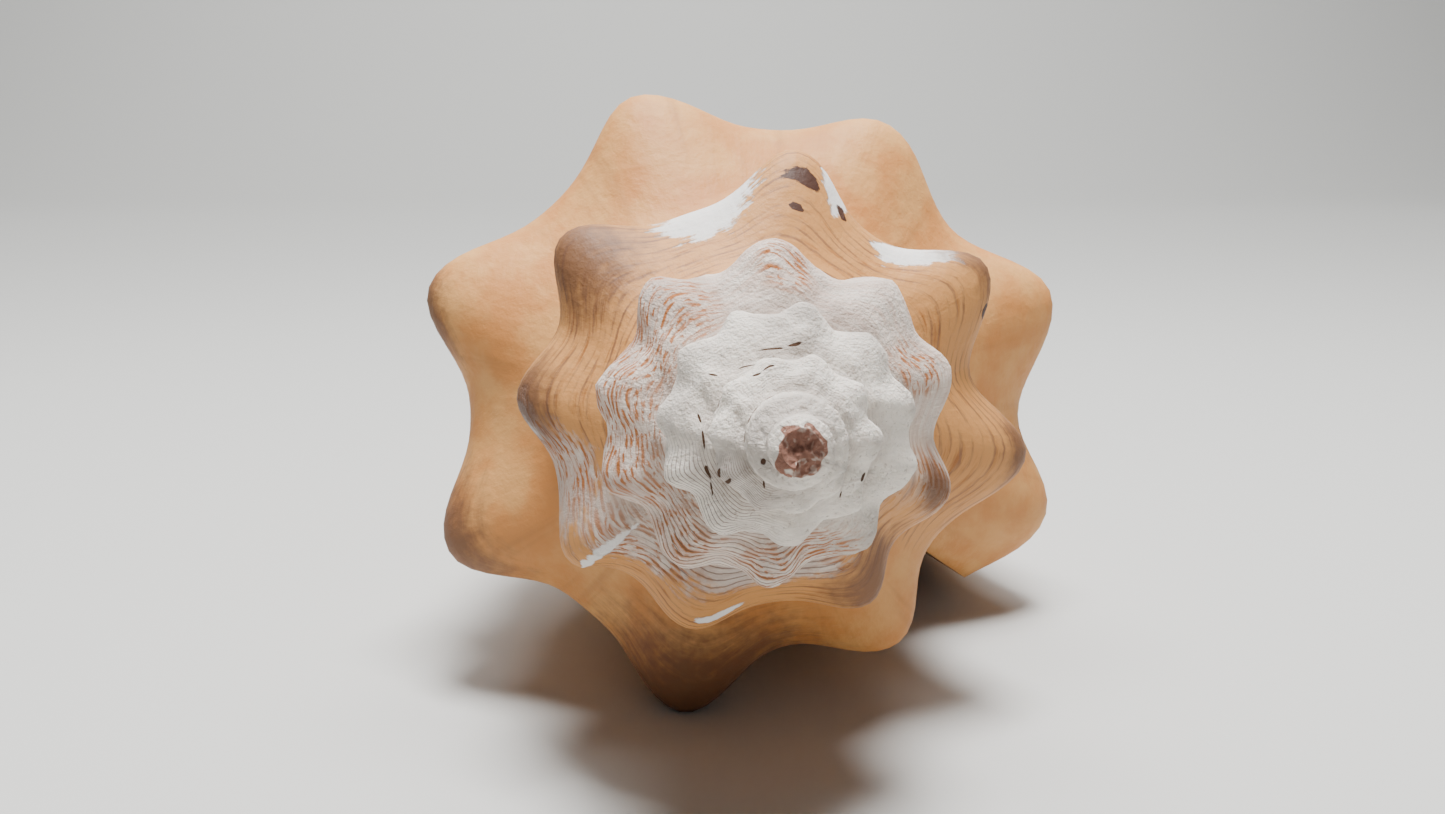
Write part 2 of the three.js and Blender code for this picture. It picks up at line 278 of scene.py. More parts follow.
def knob_height(turn):
    """How far the knob row stands out at a turn."""
    away = turn[:, None] - KNOB_TURNS
    spread = np.where(away > 0, KNOB_OLDER, KNOB_NEWER)
    return (KNOBS[:, 1] * np.exp(-((away / spread) ** 2) / 2)).sum(1)


def knob_shape(v):
    """A knob across the whorl: a rib up the ramp, the tip on the shoulder, a foot below."""
    rise = np.sin(np.pi / 2 * np.minimum(v, SHOULDER) / SHOULDER) ** 2
    fall = np.exp(-(((v - SHOULDER) / KNOB_DROP) ** 2))
    foot = KNOB_FOOT * (1 - smooth(v, SUTURE, SUTURE + KNOB_FADE))
    return np.where(v < SHOULDER, rise, foot + (1 - KNOB_FOOT) * fall)


def lean(v):
    """Growth lines lean a little: they lag at the shoulder."""
    return LIP_SHIFT + SHOULDER_LAG * np.sin(np.pi * np.minimum(v, SUTURE)) ** 2


def wall_line(size, turn, v):
    """The wall without its knobs: its scale, and its place across and along the axis."""
    scale = size.tip_radius * size.growth ** (-turn * (1 - smooth(v, *CANAL_KEPT)))
    gutter = 1 - GUTTER_FOLD * smooth(v, *GUTTER_PLACE) * smooth(turn, GUTTER_TURN, 1)
    place = outline(v) * scale[:, None]
    return scale * gutter, place[:, 0] * gutter, place[:, 1]


def wind(size, across, along, turn):
    """Points wound round the axis, swayed where the canal bends."""
    past = np.maximum(0, along / size.tip_radius - BEND_FROM) / BEND_SPAN
    sway, angle = size.canal_bend * past**2, 2 * np.pi * turn
    x = across * np.cos(angle) + sway * math.cos(BEND_HEADING)
    y = across * np.sin(angle) + sway * math.sin(BEND_HEADING)
    return np.stack([x, y, -along], 1)


def field(points, frequency, seed):
    """Smooth seeded noise at points, from about -1 to 1."""
    shift = Vector((seed, 2 * seed, 3 * seed))
    return np.array([noise.noise(Vector(p) + shift) for p in points * frequency])


def relief(size, turn, v, points, scale):
    """How far the skin stands out from the plain law: waves, growth folds, lumps and a scar.

    Heights are shares of the whorl's scale. Lumps and dents start where the whorls are chalky, and
    the scar is a step across the ramp where growth once stopped.
    """
    own = points / scale[:, None]
    sheet = np.stack([turn, v, 0 * v], 1)
    waves = WAVE_RISE * field(own, 4.0, 1.3)
    folds = FOLD_RISE * field(sheet * (FOLDS_IN_TURN, FOLDS_ACROSS, 0), 1.0, 5.1)
    worn = smooth(turn, *LUMPY_TURNS)
    lumps = worn * LUMP_RISE * field(own, 6.0, 9.7)
    dents = worn * DENT_RISE * field(own, 11.0, 3.3)
    scar = SCAR_RISE * smooth(turn, *SCAR_CLIMB) * (1 - smooth(turn, *SCAR_FALL))
    scar = scar * smooth(v, *SCAR_PLACE)
    lip_fade = smooth(turn, 0, 0.02) * (1 - smooth(v, 1.2, 1.5) * smooth(turn, 0.8, 1))
    return (waves + folds + lumps + dents + scar) * scale * lip_fade


def skin(size, turn, v):
    """Points of the outer skin. A whorl's lower edge is the next whorl's suture."""
    lower_edge = (turn >= 1) & (np.abs(v - SUTURE) < 1e-6)
    turn, v = np.where(lower_edge, turn - 1, turn), np.where(lower_edge, 0, v)
    real = turn + lean(v)
    scale, across, along = wall_line(size, real, v)
    own = knob_height(real) * knob_shape(v)
    below = knob_height(real + 1) / size.growth * KNOB_FOOT
    out = own + below * np.maximum(0, 1 - v / SUTURE_WAVE) ** 2
    points = wind(size, across + out * scale, along, real)
    rise = relief(size, turn, v, points, scale)
    towards_tip = math.radians(50) * (1 - smooth(v, 0, 0.6))
    radial = points * (1, 1, 0)
    radial /= np.linalg.norm(radial, axis=1)[:, None]
    facing = radial * np.cos(towards_tip)[:, None]
    facing[:, 2] += np.sin(towards_tip)
    return points + facing * rise[:, None]


def hollow_ring(size, turn, outer_v, inner_v):
    """One ring of the hollow, down inside the outer wall and back up the pillar."""
    closed = float(smooth(turn, 0, HOLLOW_CLOSED))
    outer_end, inner_end = (mix(CANAL_END, foot, closed) for foot in HOLLOW_FOOT)
    v_out = np.where(outer_v <= 1, outer_v, 1 + (outer_v - 1) * (outer_end - 1))
    v_in = 1 + (inner_v - 1) * (inner_end - 1)
    _, across_out, along_out = wall_line(size, turn + lean(v_out), v_out)
    _, across_in, along_in = wall_line(size, turn + 1 + lean(v_in), v_in)
    across = np.concatenate([across_out, across_in])
    along = np.concatenate([along_out, along_in])
    line = np.stack([across, along], 1)
    foot = len(v_out)
    gaps = np.linalg.norm(line - np.roll(line, 1, 0), axis=1)
    travelled = np.cumsum(gaps) - gaps[0]
    from_suture = np.minimum(travelled, gaps.sum() - travelled)
    shrink = size.growth**-turn
    wall = mix(size.lip_wall, size.body_wall, float(smooth(turn, 0, WALL_FULL)))
    full = np.where(np.arange(len(line)) < foot, wall, size.callus) * shrink
    depth = np.minimum(full, shrink * CORNER_WALL + CORNER_SLOPE * from_suture)
    after, before = np.roll(line, -1, 0), np.roll(line, 1, 0)
    after[foot - 1], before[foot] = line[foot - 1], line[foot]
    step = after - before
    step /= np.linalg.norm(step, axis=1)[:, None]
    where = turn + lean(np.concatenate([v_out, v_in]))
    return wind(size, across - depth * step[:, 1], along + depth * step[:, 0], where)


def laying(size, points):
    """The matrix that lays the shell down: level on a knob, the lip and the canal's end."""
    spin = Matrix.Rotation(math.pi / 2 - size.tilt, 3, "X") @ Matrix.Rotation(size.roll, 3, "Z")
    turned = points @ np.array(spin).T
    reach = size.tip_radius
    for _ in range(SETTLE_PASSES):
        x, y, z = (turned - (turned.min(0) + turned.max(0)) / 2).T
        places = (y < -reach / 2, (abs(y) < reach) & (x > reach / 4), y > 1.5 * reach)
        knob, lip, canal = (turned[np.where(p, z, np.inf).argmin()] for p in places)
        up = Vector(np.cross(lip - knob, canal - knob)).normalized()
        level = up.rotation_difference(Vector((0, 0, 1))).to_matrix()
        turned = turned @ np.array(level).T
        spin = level @ spin
    low, high = (np.array(corner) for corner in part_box("shell"))
    shift = (low + high - turned.min(0) - turned.max(0)) / 2
    shift[2] = low[2] - turned[:, 2].min() - REST_DEPTH
    return Matrix.Translation(shift) @ spin.to_4x4()


# ---- The shell -----------------------------------------------------------------------------------


def sheet(name, columns, rows, place, facts, material):
    """A flat grid that place() rolls up: place(i, j) gives points for column and row numbers.

    An array of turned and scaled copies winds a plain spiral, but not uneven knobs or a canal that
    keeps one end, so the grid's points are put where the growth law has them. facts(i, j) gives
    each point's (turn, v).
    """
    bpy.ops.object.select_all(action="DESELECT")
    bpy.ops.mesh.primitive_grid_add(
        x_subdivisions=columns, y_subdivisions=rows, size=2, calc_uvs=True
    )
    made = bpy.context.object
    made.name = name
    mesh = made.data
    flat = np.zeros(len(mesh.vertices) * 3)
    mesh.vertices.foreach_get("co", flat)
    flat = (flat.reshape(-1, 3) + 1) / 2
    i, j = np.rint(flat[:, 0] * columns).astype(int), np.rint(flat[:, 1] * rows).astype(int)
    mesh.vertices.foreach_set("co", place(i, j).ravel())
    turn, v = facts(i, j)
    for key, values in wear(turn, v).items():
        mesh.attributes.new(key, "FLOAT", "POINT").data.foreach_set("value", values)
    uv = mesh.uv_layers[0]
    uv.name = "whorl"
    corners = np.zeros(len(mesh.loops), int)
    mesh.loops.foreach_get("vertex_index", corners)
    uv.data.foreach_set("uv", np.stack([turn[corners], v[corners]], 1).ravel())
    mesh.materials.append(material)
    mesh.update()
    return made


def wear(turn, v):
    """Where the skin is worn, chipped, stained or rusty, and where shade is painted on knobs: above
    0.5 inside each patch, 0 far away.
    """
    found = {}
    for key, patches in PATCHES.items():
        values = np.zeros(len(turn))
        for centre_turn, centre_v, half_turn, half_v in patches:
            away = np.hypot((turn - centre_turn) / half_turn, (v - centre_v) / half_v)
            values = np.maximum(values, 1 - away / 2)
        found[key] = values
    return found


def grow_shell(settings):
    """Makes the shell's mesh object, in its resting pose."""
    size, colours = settings.conch_shape, settings.conch_colours
    columns, rows, base = size.columns, size.whorl_rows, size.base_rows
    last = round(size.turns * columns)
    newest = np.indices((columns + 1, 2 * rows + 1)).reshape(2, -1)
    older = np.indices((last + 1, rows + 1)).reshape(2, -1)
    laid = laying(size, np.vstack([
        skin(size, i / columns, j / rows) for i, j in (newest, older)
    ]))

    def spot(turn, v):
        """Where a point of the skin ends up."""
        return laid @ Vector(skin(size, np.array([turn]), np.array([v]))[0])

    outer_skin, inner_skin = worn_aragonite(colours, spot, size), mouth_glaze(colours)

    def whorl_at(i, j):
        return i / columns, j / rows

    def base_at(i, j):
        return i / columns, 1 + j / base

    whorls = sheet("whorls", last, rows, lambda i, j: skin(size, *whorl_at(i, j)), whorl_at,
                   outer_skin)
    neck = sheet("neck", columns, base, lambda i, j: skin(size, *base_at(i, j)), base_at,
                 outer_skin)
    hollow = hollow_sheet(size, inner_skin)
    tip = tip_sheet(size, outer_skin)

    bpy.ops.object.select_all(action="DESELECT")
    for made in (neck, hollow, tip, whorls):
        made.select_set(True)
    bpy.context.view_layer.objects.active = whorls
    bpy.ops.object.join()
    shell = bpy.context.object
    shell.name = shell.data.name = "conch_shell"

    # Neighbouring sheets are welded, and the canal's end is closed.
    bpy.ops.object.mode_set(mode="EDIT")
    bpy.ops.mesh.select_all(action="SELECT")
    bpy.ops.mesh.remove_doubles(threshold=WELD)
    bpy.ops.mesh.select_all(action="DESELECT")
    bpy.ops.mesh.select_non_manifold(extend=False)
    bpy.ops.mesh.edge_face_add()
    bpy.ops.mesh.select_all(action="SELECT")
    bpy.ops.mesh.normals_make_consistent(inside=False)
    bpy.ops.object.mode_set(mode="OBJECT")
    bpy.ops.object.shade_smooth()

    open_canal(shell, size)
    shell.data.transform(laid)
    shell.data.update()
    return shell


def hollow_sheet(size, material):
    """The inside: it starts at the lip's own edge, winds back and is closed."""
    rows, base = size.whorl_rows, size.base_rows
    outer_v = np.concatenate([np.arange(rows + 1) / rows, 1 + np.arange(1, base + 1) / base])
    inner_v = 1 + np.arange(base, 0, -1) / base
    lip = skin(size, 0 * outer_v, outer_v)
    pillar = skin(size, 1 + 0 * inner_v, inner_v)
    steps = round(size.hollow_turns * size.hollow_columns)
    rings = [np.concatenate([lip, pillar])]
    rings += [hollow_ring(size, k / size.hollow_columns, outer_v, inner_v)
              for k in range(steps + 1)]
    back = rings[-1].mean(0)
    rings.append(rings[-1] * 0 + back)
    rings = np.array([np.vstack([ring, ring[:1]]) for ring in rings])
    return sheet("hollow", len(rings) - 1, rings.shape[1] - 1, lambda i, j: rings[i, j],
                 lambda i, j: (-1 - i / size.hollow_columns, 0 * j), material)


def tip_sheet(size, material):
    """The broken tip: the rim of the first whorl, drawn in to its middle, rough as a fracture."""
    columns, rows = size.columns, size.whorl_rows
    last = round(size.turns * columns)
    around, up = np.arange(last - columns, last), np.arange(rows + 1)
    rim = np.vstack([
        skin(size, around / columns, 0.0 * around),
        skin(size, np.full(rows + 1, last / columns), up / rows),
    ])
    rim[-1] = rim[0]
    middle = rim.mean(0)

    def tip_at(i, j):
        share = 1 - j / TIP_RINGS
        points = middle + (rim[i] - middle) * share[:, None]
        bumps = field(points / MM, 0.9, 7.7) + 0.5 * field(points / MM, 2.3, 1.9)
        points[:, 2] += TIP_ROUGH * bumps * np.sqrt(1 - share) - TIP_SINK * (1 - share**3)
        return points

    return sheet("tip", len(rim) - 1, TIP_RINGS, tip_at,
                 lambda i, j: (size.turns + j / TIP_RINGS, 0.5 + 0 * i), material)


def open_canal(shell, size):
    """Bores the open way out at the canal's end, along the foot of its gutter."""
    tip = OUTLINE[-1, 1] * size.tip_radius
    along = np.array([tip + BORE_RADIUS, tip - BORE_LENGTH])
    start, end = (Vector(p) for p in wind(size, BORE_OFF_AXIS, along, np.full(2, BORE_TURN)))
    bpy.ops.object.select_all(action="DESELECT")
    bpy.ops.mesh.primitive_cylinder_add(
        vertices=32, radius=BORE_RADIUS, depth=(end - start).length, location=(start + end) / 2,
        rotation=(end - start).to_track_quat("Z", "Y").to_euler(),
    )
    bore = bpy.context.object
    bpy.context.view_layer.objects.active = shell
    cut = shell.modifiers.new("canal", "BOOLEAN")
    cut.operation, cut.object = "DIFFERENCE", bore
    bpy.ops.object.modifier_apply(modifier=cut.name)
    bpy.data.objects.remove(bore)


# ---- Materials -----------------------------------------------------------------------------------

MATH, MIX, RANGE, NOISE = "ShaderNodeMath", "ShaderNodeMix", "ShaderNodeMapRange", "ShaderNodeTexNoise"
STEP = {"interpolation_type": "SMOOTHSTEP"}
PAINT = {"data_type": "RGBA"}  # a Mix node of colours: socket 0 is the share, 6 under, 7 over
PAINTED = 2  # and its output


def add_node(tree, kind, inputs=(), output=0, **settings):
    """Adds a node with its settings and its inputs, values or links, and returns an output.

    The inputs are in the order of the node's sockets, or a dictionary by name or number.
    """
    made = tree.nodes.new(kind)
    for key, value in settings.items():
        setattr(made, key, value)
    for key, value in inputs.items() if isinstance(inputs, dict) else enumerate(inputs):
        if isinstance(value, bpy.types.NodeSocket):
            tree.links.new(value, made.inputs[key])
        else:
            made.inputs[key].default_value = value
    return made.outputs[output]


def whorl_patterns(add):
    """The patterns that the shell's skin is painted and roughened with, by name."""
    place = add("ShaderNodeTexCoord", output="Object")
    whorl = add("ShaderNodeUVMap", uv_map="whorl")
    found = {"place": place}
    for name, axis in (("turn", "X"), ("v", "Y")):
        found[name] = add("ShaderNodeSeparateXYZ", (whorl,), axis)
    # Blotches of a real size: clouds of colour, mottling, the grain of the chalk, and the jagged
    # edge and curls of the broken tip. The grain is drawn coarser than the real one, to show.
    for name, blotch, detail, roughness, distortion in (
        ("blotches", 9 * MM, 4.0, 0.55, 0.0), ("mottle", 2.2 * MM, 4.0, 0.6, 0.0),
        ("grit", 0.5 * MM, 3.0, 0.65, 0.0), ("jags", 1.9 * MM, 1.0, 0.5, 0.0),
        ("curls", 1.3 * MM, 1.0, 0.5, 1.5),
    ):
        found[name] = add(NOISE, {
            "Vector": place, "Scale": 1 / blotch, "Detail": detail, "Roughness": roughness,
            "Distortion": distortion,
        })
    # Marks that follow the whorl, as long in turns and as wide in whorl widths as given, so they
    # grow with the shell. On the newest whorl, 0.01 turn is 3.5 mm and 0.1 of the width 6.5 mm.
    for name, long, wide, detail, roughness, distortion in (
        ("bands", 0.012, 0.9, 3.0, 0.6, 0.0), ("streaks", 0.06, 0.03, 4.0, 0.65, 0.3),
        ("dashes", 0.020, 0.030, 3.0, 0.6, 1.0),
    ):
        sized = add("ShaderNodeMapping", {"Vector": whorl, "Scale": (1 / long, 1 / wide, 1.0)})
        found[name] = add(NOISE, {
            "Vector": sized, "Scale": 1.0, "Detail": detail, "Roughness": roughness,
            "Distortion": distortion,
        })
    # Spiral threads, about 2 mm apart on the newest whorl, wandering a little.
    centred = add(MATH, (found["blotches"], 0.5), operation="SUBTRACT")
    wander = add(MATH, (centred, 14.0), operation="MULTIPLY")
    phase = add(MATH, (found["v"], THREADS * 2 * math.pi), operation="MULTIPLY")
    wave = add(MATH, (add(MATH, (phase, wander), operation="ADD"),), operation="SINE")
    found["thread"] = add(MATH, (wave, 0.5, 0.5), operation="MULTIPLY_ADD")
    # The patches, and the same with edges that noise frays, over half the given share.
    for name in PATCHES:
        found[name] = add("ShaderNodeAttribute", attribute_name=name, output="Fac")
    both = add(MATH, (found["mottle"], found["streaks"]), operation="ADD")
    fray = add(MATH, (both, 0.55, -0.55), operation="MULTIPLY_ADD")
    for name, half in (("worn", 0.06), ("chalky", 0.12), ("chip", 0.04), ("stain", 0.3)):
        frayed = add(MATH, (found[name], fray), operation="ADD")
        found[name] = add(RANGE, (frayed, 0.5 - half, 0.5 + half), **STEP)
    # Where the whorls are warm, chalky and old. The two last have a ragged edge.
    ragged = add(MATH, (found["blotches"], 0.24, -0.12), operation="MULTIPLY_ADD")
    rough_turn = add(MATH, (found["turn"], ragged), operation="ADD")
    found["middle"] = add(RANGE, (found["turn"], 0.985, 1.0), **STEP)
    whitened = add(RANGE, (rough_turn, 1.95, 2.10), **STEP)
    found["chalky"] = add(MATH, (whitened, found["chalky"]), operation="MAXIMUM")
    found["old"] = add(RANGE, (rough_turn, 2.75, 3.0), **STEP)
    return found


def skin_paint(add, colours, found):
    """The colour of the skin: clouded tan, and warmer with brown streaks on the middle whorl."""
    clouds = add(RANGE, (found["blotches"], 0.38, 0.66), **STEP)
    growth = add(RANGE, (found["bands"], 0.52, 0.75, 0.0, 0.45), **STEP)
    streaks = add(RANGE, (found["streaks"], 0.50, 0.72, 0.0, 0.8), **STEP)
    grooves = add(RANGE, (found["thread"], 0.62, 0.95), **STEP)
    broken_up = add(RANGE, (found["streaks"], 0.42, 0.62, 0.0, 0.55), **STEP)
    lines = add(MATH, (grooves, broken_up), operation="MULTIPLY")
    body, warm = linear(colours.body), linear(colours.middle)
    for over, share in ((colours.body_light, clouds), (colours.band, growth)):
        body = add(MIX, {0: share, 6: body, 7: linear(over)}, PAINTED, **PAINT)
    for over, share in ((colours.middle_dark, streaks), (colours.thread, lines)):
        warm = add(MIX, {0: share, 6: warm, 7: linear(over)}, PAINTED, **PAINT)
    return add(MIX, {0: found["middle"], 6: body, 7: warm}, PAINTED, **PAINT)


def chalk_paint(add, colours, found):
    """The colour of the chalk: grey clouds, rust-brown dashes, painted shade at the sutures, pits and
    engraved lines.
    """
    clouds = add(RANGE, (found["blotches"], 0.40, 0.68, 0.0, 0.85), **STEP)
    newer = add(MATH, (1.0, found["old"]), operation="SUBTRACT")
    streaks = add(RANGE, (found["streaks"], 0.35, 0.7, 0.15, 0.6), **STEP)
    blush = add(MATH, (newer, streaks), operation="MULTIPLY")

    # Rust-brown dashes that a white net breaks up, on the third whorl.
    dashes = add(RANGE, (found["dashes"], 0.44, 0.56), **STEP)
    net = add(RANGE, (found["thread"], 0.0, 0.7, 0.35, 1.0), **STEP)
    netted = add(MATH, (dashes, net), operation="MULTIPLY")
    rusty = add(RANGE, (found["rust"], 0.3, 0.7), **STEP)
    rust = add(MATH, (netted, rusty), operation="MULTIPLY", use_clamp=True)

    # Painted shade in the crease at each suture, patchy, and fading out towards the tip.
    uneven = add(MATH, (found["mottle"], 0.3, -0.15), operation="MULTIPLY_ADD")
    from_suture = add(MATH, (found["v"], uneven), operation="ADD")
    # Painted shade: the chalk is darkened close to each suture, where the whorl above overhangs.
    painted_suture_shade = add(RANGE, (from_suture, 0.34, 0.10, 0.0, 0.55), **STEP)
    for value, low, high, at_low, at_high in (
        (found["streaks"], 0.35, 0.6, 0.35, 1.0), (found["turn"], 4.4, 5.4, 1.0, 0.2),
    ):
        kept = add(RANGE, (value, low, high, at_low, at_high), **STEP)
        painted_suture_shade = add(MATH, (painted_suture_shade, kept), operation="MULTIPLY")

    grains = add(RANGE, (found["grit"], 0.60, 0.70, 0.0, 0.6), **STEP)
    pits = add(MATH, (grains, found["old"]), operation="MULTIPLY")
    grooves = add(RANGE, (found["thread"], 0.75, 1.0), **STEP)
    cut = add(RANGE, (found["engraved"], 0.2, 0.7, 0.0, 0.75), **STEP)
    lines = add(MATH, (grooves, cut), operation="MULTIPLY")

    chalk = linear(colours.chalk)
    for over, share in (
        (colours.chalk_grey, clouds), (colours.blush, blush), (colours.dash, rust),
        (colours.painted_suture_shade, painted_suture_shade), (colours.pit, pits), (colours.thread, lines),
    ):
        chalk = add(MIX, {0: share, 6: chalk, 7: linear(over)}, PAINTED, **PAINT)
    return chalk


def tip_paint(add, colours, found, centre):
    """The brown core with its pale curls at the broken tip, and where it shows."""
    away = add("ShaderNodeVectorMath", (found["place"], centre), "Value", operation="DISTANCE")
    jagged = add(MATH, (found["jags"], 2.6 * MM, away), operation="MULTIPLY_ADD")
    broken = add(RANGE, (jagged, 3.9 * MM, 3.75 * MM), **STEP)
    curls = add(RANGE, (found["curls"], 0.54, 0.74, 0.0, 0.7), **STEP)
    inputs = {0: curls, 6: linear(colours.tip), 7: linear(colours.tip_pale)}
    return add(MIX, inputs, PAINTED, **PAINT), broken


def suture_crack(add, found):
    """The thin dark crack that runs along each old suture, with gaps."""
    uneven = add(MATH, (found["blotches"], 0.10, -0.05), operation="MULTIPLY_ADD")
    off = add(MATH, (found["v"], uneven), operation="ADD")
    near, far = (
        add(RANGE, (off, low, high), **STEP) for low, high in ((-0.01, 0.012), (0.014, 0.035))
    )
    crack = add(MATH, (near, far), operation="SUBTRACT")
    gaps = add(RANGE, (found["mottle"], 0.45, 0.58), **STEP)
    for share in (gaps, found["old"]):
        crack = add(MATH, (crack, share), operation="MULTIPLY")
    return crack


def worm_borings(add, found, spot):
    """Where the borings of worms are: dark slits in the chalk, each a long thin pit."""
    ragged = add(MATH, (found["grit"], 0.5), operation="MULTIPLY")
    slits = 0.0
    for turn, v, towards_turn, towards_v, slit_length in SLITS:
        here = spot(turn, v)
        along = (spot(turn + towards_turn, v + towards_v) - here).normalized()
        pit = add("ShaderNodeMapping", {
            "Vector": found["place"], "Location": here,
            "Rotation": along.to_track_quat("X", "Z").to_euler(),
            "Scale": (slit_length / 2, SLIT_WIDTH / 2, SLIT_DEPTH / 2),
        }, vector_type="TEXTURE")
        away = add("ShaderNodeVectorMath", (pit,), "Value", operation="LENGTH")
        edge = add(MATH, (away, ragged), operation="ADD")
        own = add(RANGE, (edge, 1.4, 1.1), **STEP)
        slits = add(MATH, (slits, own), operation="MAXIMUM")
    return slits


def skin_relief(add, found, slits):
    """The height of the threads, growth bands, pits, worn patches and slits, in metres."""
    streaky = add(RANGE, (found["streaks"], 0.35, 0.65, 0.15, 1.0), **STEP)
    older = add(RANGE, (found["turn"], 0.9, 2.4, 0.3, 0.8), **STEP)
    threads = add(MATH, (found["thread"], streaky), operation="MULTIPLY")
    threads = add(MATH, (threads, older), operation="MULTIPLY")
    on_base = add(RANGE, (found["v"], 0.7, 1.2, 0.0, 4.5), **STEP)
    cords = add(MATH, (found["thread"], on_base), operation="MULTIPLY")
    pitted = add(MATH, (found["grit"], found["chalky"]), operation="MULTIPLY")
    ribs = add(MATH, (threads, cords), operation="ADD")
    height = 0.0
    for part, rise in (
        (ribs, -0.03 * MM), (found["bands"], 0.10 * MM), (pitted, -0.35 * MM),
        (found["mottle"], 0.25 * MM), (found["worn"], -0.15 * MM), (slits, -0.3 * MM),
    ):
        height = add(MATH, (part, rise, height), operation="MULTIPLY_ADD")
    return height


def worn_aragonite(colours, spot, size):
    """Sea-worn aragonite: a silky tan skin on the new whorls, dull pitted chalk on the old.

    The skin is smooth and a little glossy; where it is worn the layer below is matte and white.
    """
    material = bpy.data.materials.new("worn_aragonite")
    material.use_nodes = True
    tree = material.node_tree
    shader = tree.nodes["Principled BSDF"]
    add = partial(add_node, tree)
    found = whorl_patterns(add)
    core, broken = tip_paint(
        add, colours, found, (spot(size.turns - 0.25, 0.1) + spot(size.turns - 0.75, 0.1)) / 2
    )
    # Painted shade in part: the knob stains also darken the knobs where shade falls.
    stained_and_shaded = add(MATH, (found["stain"], 0.85), operation="MULTIPLY")
    slits = worm_borings(add, found, spot)
    colour = skin_paint(add, colours, found)
    for over, share in (
        (chalk_paint(add, colours, found), found["chalky"]),
        (linear(colours.worn), found["worn"]),
        (linear(colours.shade), stained_and_shaded),
        (linear(colours.chip), found["chip"]),
        (core, broken),
        (linear(colours.thread), suture_crack(add, found)),
        (linear(colours.slit), slits),
    ):
        colour = add(MIX, {0: share, 6: colour, 7: over}, PAINTED, **PAINT)
    tree.links.new(colour, shader.inputs["Base Color"])

    dull = add(MATH, (found["chalky"], found["worn"]), operation="MAXIMUM")
    tree.links.new(add(RANGE, (dull, 0.0, 1.0, 0.58, 0.85), **STEP), shader.inputs["Roughness"])
    shader.inputs["IOR"].default_value = 1.53
    shader.inputs["Specular IOR Level"].default_value = 0.25
    shader.inputs["Subsurface Weight"].default_value = 0.08
    shader.inputs["Subsurface Radius"].default_value = (1.0, 0.6, 0.4)
    shader.inputs["Subsurface Scale"].default_value = 1.2 * MM
    height = skin_relief(add, found, slits)
    tree.links.new(
        add("ShaderNodeBump", {"Height": height, "Distance": 1.0}), shader.inputs["Normal"]
    )
    return material


def mouth_glaze(colours):
    """Porcelain-like inner glaze: smooth, warm and a little glossy."""
    material = bpy.data.materials.new("mouth_glaze")
    material.use_nodes = True
    tree = material.node_tree
    shader = tree.nodes["Principled BSDF"]
    place = add_node(tree, "ShaderNodeTexCoord", output="Object")
    cloud = 14 * MM  # clouds in the glaze
    clouds = add_node(tree, NOISE, {
        "Vector": place, "Scale": 1 / cloud, "Detail": 2.0, "Roughness": 0.5,
    })
    inputs = {0: clouds, 6: linear(colours.mouth), 7: linear(colours.mouth_pale)}
    colour = add_node(tree, MIX, inputs, PAINTED, **PAINT)
    tree.links.new(colour, shader.inputs["Base Color"])
    shader.inputs["Roughness"].default_value = 0.22
    shader.inputs["IOR"].default_value = 1.53
    return material


# ---- Operators -----------------------------------------------------------------------------------


class SHELL_OT_add_conch(bpy.types.Operator):
    """Grow the shell from its growth law and give it its finish"""

    bl_idname = "shell.add_conch"
    bl_label = "Conch shell"

    def execute(self, context):
        shell = grow_shell(context.scene)
        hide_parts("shell")
        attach(shell, "root")
        return {"FINISHED"}


def sweep_up(floor, edge_y, height, bend):
    """Extrudes the floor's far edge up into a backdrop and rounds the bend between them."""
    bpy.ops.object.mode_set(mode="EDIT")
    bpy.ops.mesh.select_mode(type="EDGE")
    bpy.ops.mesh.select_all(action="DESELECT")
    bpy.ops.object.mode_set(mode="OBJECT")
    for edge in floor.data.edges:
        edge.select = all(floor.data.vertices[k].co.y > edge_y - 0.01 for k in edge.vertices)
    bpy.ops.object.mode_set(mode="EDIT")
    bpy.ops.mesh.extrude_region_move(TRANSFORM_OT_translate={"value": (0, 0, height)})
    bpy.ops.object.mode_set(mode="OBJECT")
    for edge in floor.data.edges:
        ends = [floor.data.vertices[k].co for k in edge.vertices]
        edge.select = all(end.y > edge_y - 0.01 and end.z < 0.01 for end in ends)
    bpy.ops.object.mode_set(mode="EDIT")
    bpy.ops.mesh.bevel(offset=bend, segments=12)
    bpy.ops.object.mode_set(mode="OBJECT")
    bpy.ops.object.shade_smooth()


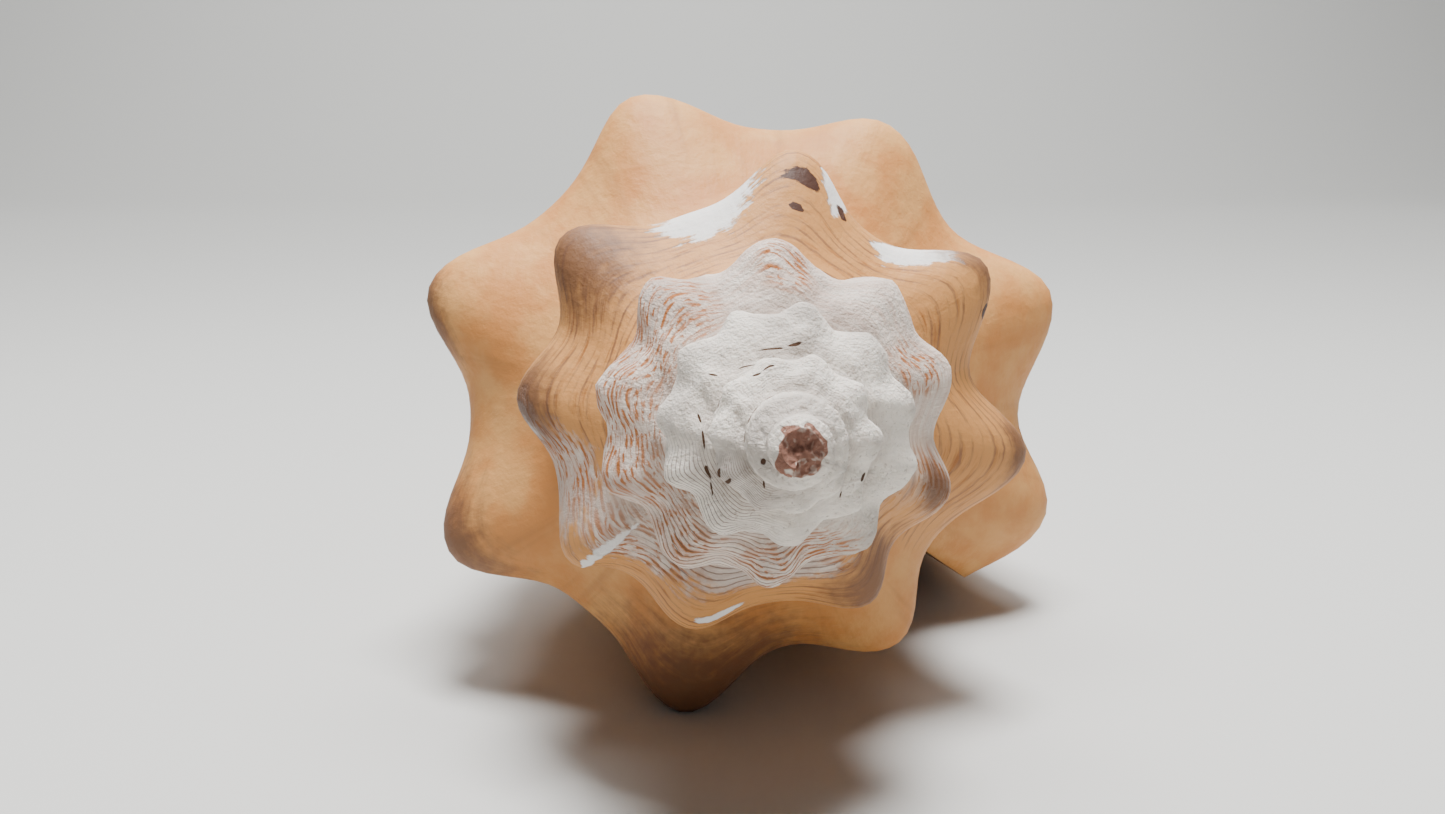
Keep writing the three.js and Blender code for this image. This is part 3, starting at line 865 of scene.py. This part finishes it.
class SHELL_OT_add_stage(bpy.types.Operator):
    """Add the floor, the lights and the camera"""

    bl_idname = "shell.add_stage"
    bl_label = "Studio stage"

    def execute(self, context):
        bpy.ops.object.select_all(action="DESELECT")
        bpy.ops.mesh.primitive_plane_add(size=5.0, location=(0, 0, 0))
        floor = context.object
        floor.name = "studio_floor"
        sweep_up(floor, 2.5, 2.5, 1.0)
        paint = bpy.data.materials.new("matte_paper_floor")
        paint.use_nodes = True
        shader = paint.node_tree.nodes["Principled BSDF"]
        shader.inputs["Base Color"].default_value = linear(context.scene.conch_colours.floor)
        shader.inputs["Roughness"].default_value = 0.9
        floor.data.materials.append(paint)
        for name, place, aim, width, power in (
            ("key", (0.02, -0.10, 0.8), (0, -0.08, 0.04), 0.25, 15.5),
            ("fill", (0.3, -1.1, 0.8), (0, 0, 0.05), 0.8, 1.2),
            ("backdrop", (0, 1.0, 2.2), (0, 2.5, 0.4), 1.6, 90.0),
        ):
            light = bpy.data.lights.new(name, "AREA")
            light.size = width
            light.energy = power
            lamp = bpy.data.objects.new(name, light)
            lamp.location = place
            lamp.rotation_euler = (Vector(aim) - Vector(place)).to_track_quat("-Z", "Y").to_euler()
            context.collection.objects.link(lamp)
        world = bpy.data.worlds.new("studio")
        world.use_nodes = True
        world.node_tree.nodes["Background"].inputs["Color"].default_value = (0.9, 0.93, 1, 1)
        world.node_tree.nodes["Background"].inputs["Strength"].default_value = 0.06
        context.scene.world = world
        lens = bpy.data.cameras.new("camera")
        lens.lens = 29.9
        lens.sensor_width = 36.0
        lens.clip_start = 0.005
        camera = bpy.data.objects.new("camera", lens)
        camera.location = (-0.01839, -0.23752, 0.08594)
        camera.rotation_euler = (math.radians(77.53), 0, math.radians(-3.37))
        context.collection.objects.link(camera)
        context.scene.camera = camera
        return {"FINISHED"}


class SHELL_PT_sidebar(bpy.types.Panel):
    """Lists the shell's operators and settings"""

    bl_label = "Horse conch shell"
    bl_idname = "SHELL_PT_sidebar"
    bl_space_type = "VIEW_3D"
    bl_region_type = "UI"
    bl_category = "Shell"

    def draw(self, context):
        for operator in OPERATORS:
            self.layout.operator(operator.bl_idname)
        for group in (context.scene.conch_shape, context.scene.conch_colours):
            for name in group.__annotations__:
                self.layout.prop(group, name)


OPERATORS = (SHELL_OT_add_conch, SHELL_OT_add_stage)
CLASSES = (ShellShape, ShellColours, *OPERATORS, SHELL_PT_sidebar)


def register():
    for item in CLASSES:
        bpy.utils.register_class(item)
    bpy.types.Scene.conch_shape = PointerProperty(type=ShellShape)
    bpy.types.Scene.conch_colours = PointerProperty(type=ShellColours)


def unregister():
    del bpy.types.Scene.conch_colours
    del bpy.types.Scene.conch_shape
    for item in reversed(CLASSES):
        bpy.utils.unregister_class(item)


def main():
    register()
    bpy.ops.shell.add_conch()
    bpy.ops.shell.add_stage()


if __name__ == "__main__":
    main()
